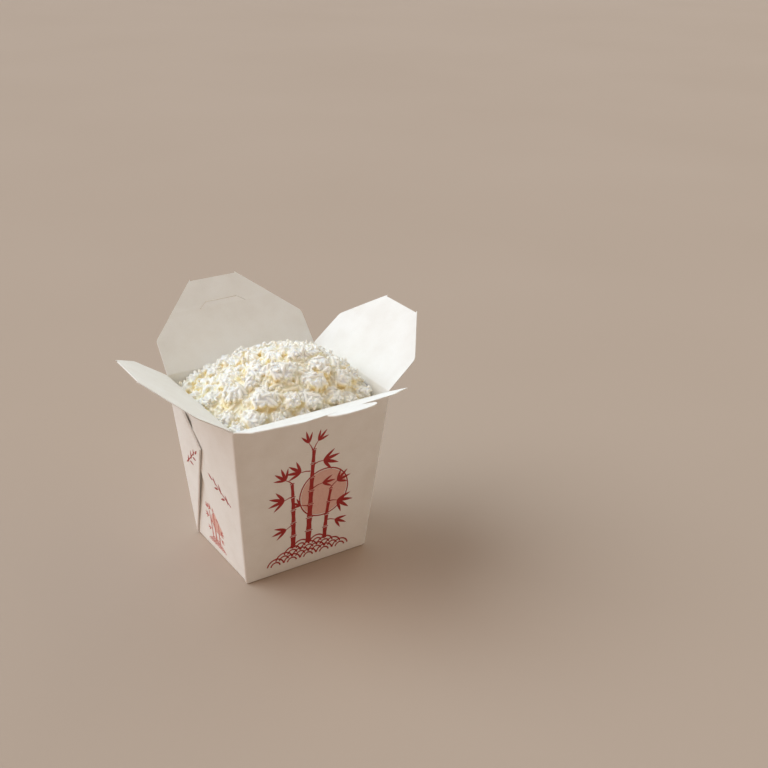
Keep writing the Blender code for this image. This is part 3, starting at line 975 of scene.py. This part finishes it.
def lay_grains(draw, spots, ways, keep, lift=0.0, score=0.0):
    """Grains on a surface, lying or standing in it, as (points, faces, how well each shows)."""
    count = len(spots)
    out = draw.uniform(0, 1, count)
    lying = draw.uniform(0, 1, count) < LYING
    tilt = np.where(lying, draw.normal(0, LYING_TILT, count), draw.uniform(*STANDING_TILT, count))
    tilt = np.radians(tilt)
    length, width, thick = grain_frames(ways, draw.uniform(0, 2 * pi, count), tilt)
    size = GRAIN_LENGTH * draw.uniform(*GRAIN_LENGTHS, count)
    wide = GRAIN_RADIUS * draw.uniform(*GRAIN_RADII, count)
    top = 0.45 * size * np.abs(np.sin(tilt)) + wide * np.cos(tilt)
    centre = spots + ways * (GRAIN_LOW + lift + out * GRAIN_RISE - top)[:, None]
    kind = draw.integers(0, len(GRAIN_SHAPES), count)
    shapes = [grain_shape(bend, blunt) for bend, blunt in GRAIN_SHAPES]
    made = []
    for k in np.flatnonzero(keep):
        points, faces = shapes[kind[k]]
        placed = centre[k] + np.outer(points[:, 0] * size[k], length[k])
        placed += np.outer(points[:, 1] * wide[k], width[k])
        placed += np.outer(points[:, 2] * wide[k], thick[k])
        shift = fitted(placed) - placed[:, :2]
        low, high = shift.min(axis=0), shift.max(axis=0)
        placed[:, :2] += np.where(-low > high, low, high)
        made.append((placed, faces, out[k] + lying[k] + score))
    return made


def all_grains(clumps, draw):
    """The grains on the clumps, and those on the core between them."""
    made = []
    for i, radius in enumerate(clumps.radius):
        count = int(4 * pi * radius**2 / GRAIN_AREA)
        ways = even_directions(count, draw.uniform(0, 6.28))
        ways = unit(ways + draw.normal(0, 0.10, ways.shape))
        spots = clumps.centre[i] + ways * clumps.reach(i, ways)[:, None]
        made += lay_grains(draw, spots, ways, (ways[:, 2] > -0.3) & ~clumps.hidden(i, spots))
    u, v = draw.uniform(-0.98, 0.98, (2, GROUND_GRAINS))
    spots = heap_point(u, v, CORE_DROP)
    return made + lay_grains(draw, spots, heap_normal(u, v), ~clumps.hidden(-1, spots),
                             GROUND_LIFT, GROUND_SCORE)


def fuse(name, parts, finish):
    """One closed skin round overlapping parts, smoothed as by starch."""
    rough = build(name + "_parts", parts, finish)
    remesh = rough.modifiers.new("skin", "REMESH")
    remesh.mode, remesh.voxel_size = "VOXEL", VOXEL
    relax = rough.modifiers.new("relax", "SMOOTH")
    relax.factor, relax.iterations = 0.5, 1
    final = rough.evaluated_get(bpy.context.evaluated_depsgraph_get())
    skin = bpy.data.meshes.new_from_object(final)
    bpy.data.objects.remove(rough)
    work = bmesh.new()
    work.from_mesh(skin)
    bpy.data.meshes.remove(skin)
    keep_largest(work)
    close_below(work)
    mesh = bpy.data.meshes.new(name)
    work.to_mesh(mesh)
    work.free()
    mesh.shade_smooth()
    mesh.materials.append(finish)
    return add_object(name, mesh)


def keep_largest(work):
    """Only the outer skin stays; the skins of hollows inside go."""
    work.verts.ensure_lookup_table()
    seen, best = set(), []
    for first in work.verts:
        if first.index in seen:
            continue
        group = [first]
        seen.add(first.index)
        for vert in group:  # it grows while it is gone through
            for edge in vert.link_edges:
                other = edge.other_vert(vert)
                if other.index not in seen:
                    seen.add(other.index)
                    group.append(other)
        if len(group) > len(best):
            best = group
    kept = set(best)
    bmesh.ops.delete(work, geom=[v for v in work.verts if v not in kept], context="VERTS")


def close_below(work):
    """Cut the skin off inside the carton and close it down to the base."""
    level, base = HEIGHT - CUT_LEVEL, BOARD + GAP
    bmesh.ops.bisect_plane(work, geom=[*work.verts, *work.edges, *work.faces],
                           plane_co=(0, 0, level), plane_no=(0, 0, -1), clear_outer=True)
    rim = [e for e in work.edges if e.is_boundary]
    fresh = bmesh.ops.extrude_edge_only(work, edges=rim)["geom"]
    wide, deep = room(level)
    base_wide, base_deep = room(base)
    for vert in fresh:
        if isinstance(vert, bmesh.types.BMVert):
            vert.co = (vert.co.x * base_wide / wide, vert.co.y * base_deep / deep, base)
    bmesh.ops.holes_fill(work, edges=[e for e in work.edges if e.is_boundary], sides=0)
    bmesh.ops.recalc_face_normals(work, faces=work.faces)


def read(values, key, width, kind=np.float32):
    """An array of a mesh's values, width to a row."""
    found = np.empty(len(values) * width, kind)
    values.foreach_get(key, found)
    return found.reshape(-1, width)


def cover(mesh):
    """How closed in each point is by the heap, from 0 in the open to 1 deep down; it places the
    painted shade in the rice's hollows.
    """
    points, normals = read(mesh.vertices, "co", 3), read(mesh.vertex_normals, "vector", 3)
    tree = BVHTree.FromPolygons(points.tolist(), [tuple(p.vertices) for p in mesh.polygons])
    ways = even_directions(COVER_RAYS, 0.4)
    shut = np.zeros(len(points))
    for i in np.flatnonzero(points[:, 2] > HEIGHT - CUT_LEVEL + 0.001):
        start = Vector(points[i] + normals[i] * 0.0004)
        facing = ways[ways @ normals[i] > 0.1]
        hits = [tree.ray_cast(start, Vector(way), COVER_REACH)[0] is not None for way in facing]
        shut[i] = np.mean(hits)
    edges = read(mesh.edges, "vertices", 2, np.int64)
    for _ in range(COVER_PASSES):
        total, count = shut.copy(), np.ones(len(shut))
        for a, b in (edges.T, edges.T[::-1]):
            total += np.bincount(a, shut[b], len(shut))
            count += np.bincount(a, minlength=len(shut))
        shut = total / count
    return points, shut


def add_values(ob, **values):
    """Values of the points that the rice's material reads to paint shade into its colour."""
    for name, numbers in values.items():
        layer = ob.data.attributes.new(name, "FLOAT", "POINT")
        layer.data.foreach_set("value", np.asarray(numbers, np.float32))


def order_of_showing(grains, draw):
    """The grains' numbers, first those that show most and the front half's."""
    order = []
    for points, _, score in grains:
        in_front = points[:, 1].mean() + FRONT_SLANT * points[:, 0].mean() < FRONT_LINE
        order.append(draw.uniform(0, 1) - SCORE_GAIN * (score > HIGH_SCORE) - float(in_front))
    return np.argsort(order)


def swell(points):
    """A grain a little larger, to show above the skin round it."""
    middle = points.mean(axis=0)
    return middle + (points - middle) * LOOSE_SWELL


def make_rice(finish, grain_finish):
    """The heap: one skin of stuck grains, and loose grains on it."""
    draw = np.random.default_rng(7)
    clumps = Clumps(draw)
    grains = all_grains(clumps, draw)
    ball_points, ball_faces = ball_mesh()
    parts = [core_mesh()]
    for i in range(len(clumps.radius)):
        reach = clumps.reach(i, ball_points) - GAP
        points = clumps.centre[i] + ball_points * reach[:, None]
        points[:, :2] = fitted(points)
        parts.append((points, ball_faces))
    order = order_of_showing(grains, draw)
    parts += [(points, faces) for points, faces, _ in grains]
    heap = fuse("rice_heap", parts, finish)
    points, shut = cover(heap.data)
    # Painted shade: cover and lowness turn the heap golden in its hollows and low on its clumps
    add_values(heap, depth=shut, shade=clumps.lowness(points))
    tree = KDTree(len(points))
    for i, point in enumerate(points):
        tree.insert(point, i)
    tree.balance()
    pieces, start = [heap], 0
    for name, count in zip(("rice_grains_front", "rice_grains_back"), LOOSE_GRAINS):
        loose = [(swell(grains[k][0]), grains[k][1].tolist()) for k in order[start:start + count]]
        start += count
        top = build(name, loose, grain_finish, 80)
        points = np.vstack([p for p, _ in loose])
        # Painted shade for the loose grains, from the heap's cover near them
        depth = [0.9 * np.mean([shut[k] for _, k, _ in tree.find_n(p, 4)]) for p in points]
        add_values(top, depth=depth, shade=clumps.lowness(points))
        pieces.append(top)
    return pieces


# ---- scene

def make_camera():
    """The photograph's camera, fitted to the carton's corners and flaps."""
    focal, azimuth, elevation, roll = 1146.2, -0.59206, 0.43424, 0.0211  # pixels; radians
    distance, shift_x, shift_y = 7.02004 * UNIT, -0.634103 * UNIT, -0.942503 * UNIT
    back = Vector((sin(azimuth) * cos(elevation),
                   -cos(azimuth) * cos(elevation), sin(elevation)))
    level = Vector((0, 0, 1)).cross(back).normalized()
    steep = back.cross(level)
    right = level * cos(roll) + steep * sin(roll)
    up = steep * cos(roll) - level * sin(roll)
    data = bpy.data.cameras.new("camera")
    data.sensor_width = 36.0
    data.lens = focal * 36.0 / 768
    data.clip_start, data.clip_end = 0.01, 30.0
    camera = add_object("camera", data)
    place = Matrix((right, up, back)).transposed().to_4x4()
    place.translation = back * distance - right * shift_x - up * shift_y
    camera.matrix_world = place
    bpy.context.scene.camera = camera


def make_lights():
    for name, way, strength, angle, colour in LIGHTS:
        data = bpy.data.lights.new(name, "SUN")
        data.energy, data.angle, data.color = strength, radians(angle), colour
        light = add_object(name, data)
        light.rotation_euler = Vector(way).to_track_quat("Z", "Y").to_euler()


def make_world():
    """A dim room whose walls, low down, are as light as the floor."""
    world = bpy.data.worlds.new("world")
    world.use_nodes = True
    tree = world.node_tree
    height = node(tree, "SeparateXYZ", "Z", Vector=node(tree, "TexCoord", "Generated"))
    fill(tree, tree.nodes["Background"], Color=ramp(tree, height, WORLD_TINTS))
    bpy.context.scene.world = world


def make_floor():
    mesh = bpy.data.meshes.new("floor")
    mesh.from_pydata([(-6, -6, 0), (6, -6, 0), (6, 6, 0), (-6, 6, 0)], [], [(0, 1, 2, 3)])
    mesh.materials.append(floor_material())
    floor = add_object("floor", mesh)
    floor.location.z = -0.0001


def make_carton():
    board = board_material()
    return {
        "front": make_front(board), "back": make_back(board),
        "left": make_side("left", -90, 0.8, board), "right": make_side("right", 90, -0.8, board),
    }


def make_print(panels):
    deep_red, pale_pink, side_red = (ink_material(name + " ink", *INKS[name]) for name in INKS)
    red, pink = design()
    for name, place, finish, *spot in [
            ("front", panels["front"], deep_red, 1.0, 0.0, 0.0),
            ("back", panels["back"], deep_red, 1.0, 0.0, 0.0),
            ("left", panels["left"].straight, side_red, 0.42, -0.047, 0.02),
            ("right", panels["right"].straight, side_red, 0.42, 0.047, 0.02)]:
        ink(f"print_{name}_pink", place, on_wall(pink, *spot), pale_pink, 0)
        ink(f"print_{name}_red", place, on_wall(red, *spot), finish, 1)
    for side, end in ((-1, "left"), (1, "right")):
        for name, shift, turn in SPRIGS:
            shapes = on_ear(panels[name], sprig(), side, shift, turn)
            ink(f"sprig_{name}_{end}", panels[name], shapes, deep_red, 1)


def main():
    make_camera()
    make_floor()
    make_lights()
    make_world()
    bpy.context.scene.view_settings.view_transform = "Standard"
    make_print(make_carton())
    skin = rice_material("rice", *SKIN_COLOUR_AND_PAINTED_SHADE, 0.80)
    grain = rice_material("rice grain", *GRAIN_COLOUR_AND_PAINTED_SHADE, 0.0)
    for piece in make_rice(skin, grain):
        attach(piece, "carton")
        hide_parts("rice")


main()
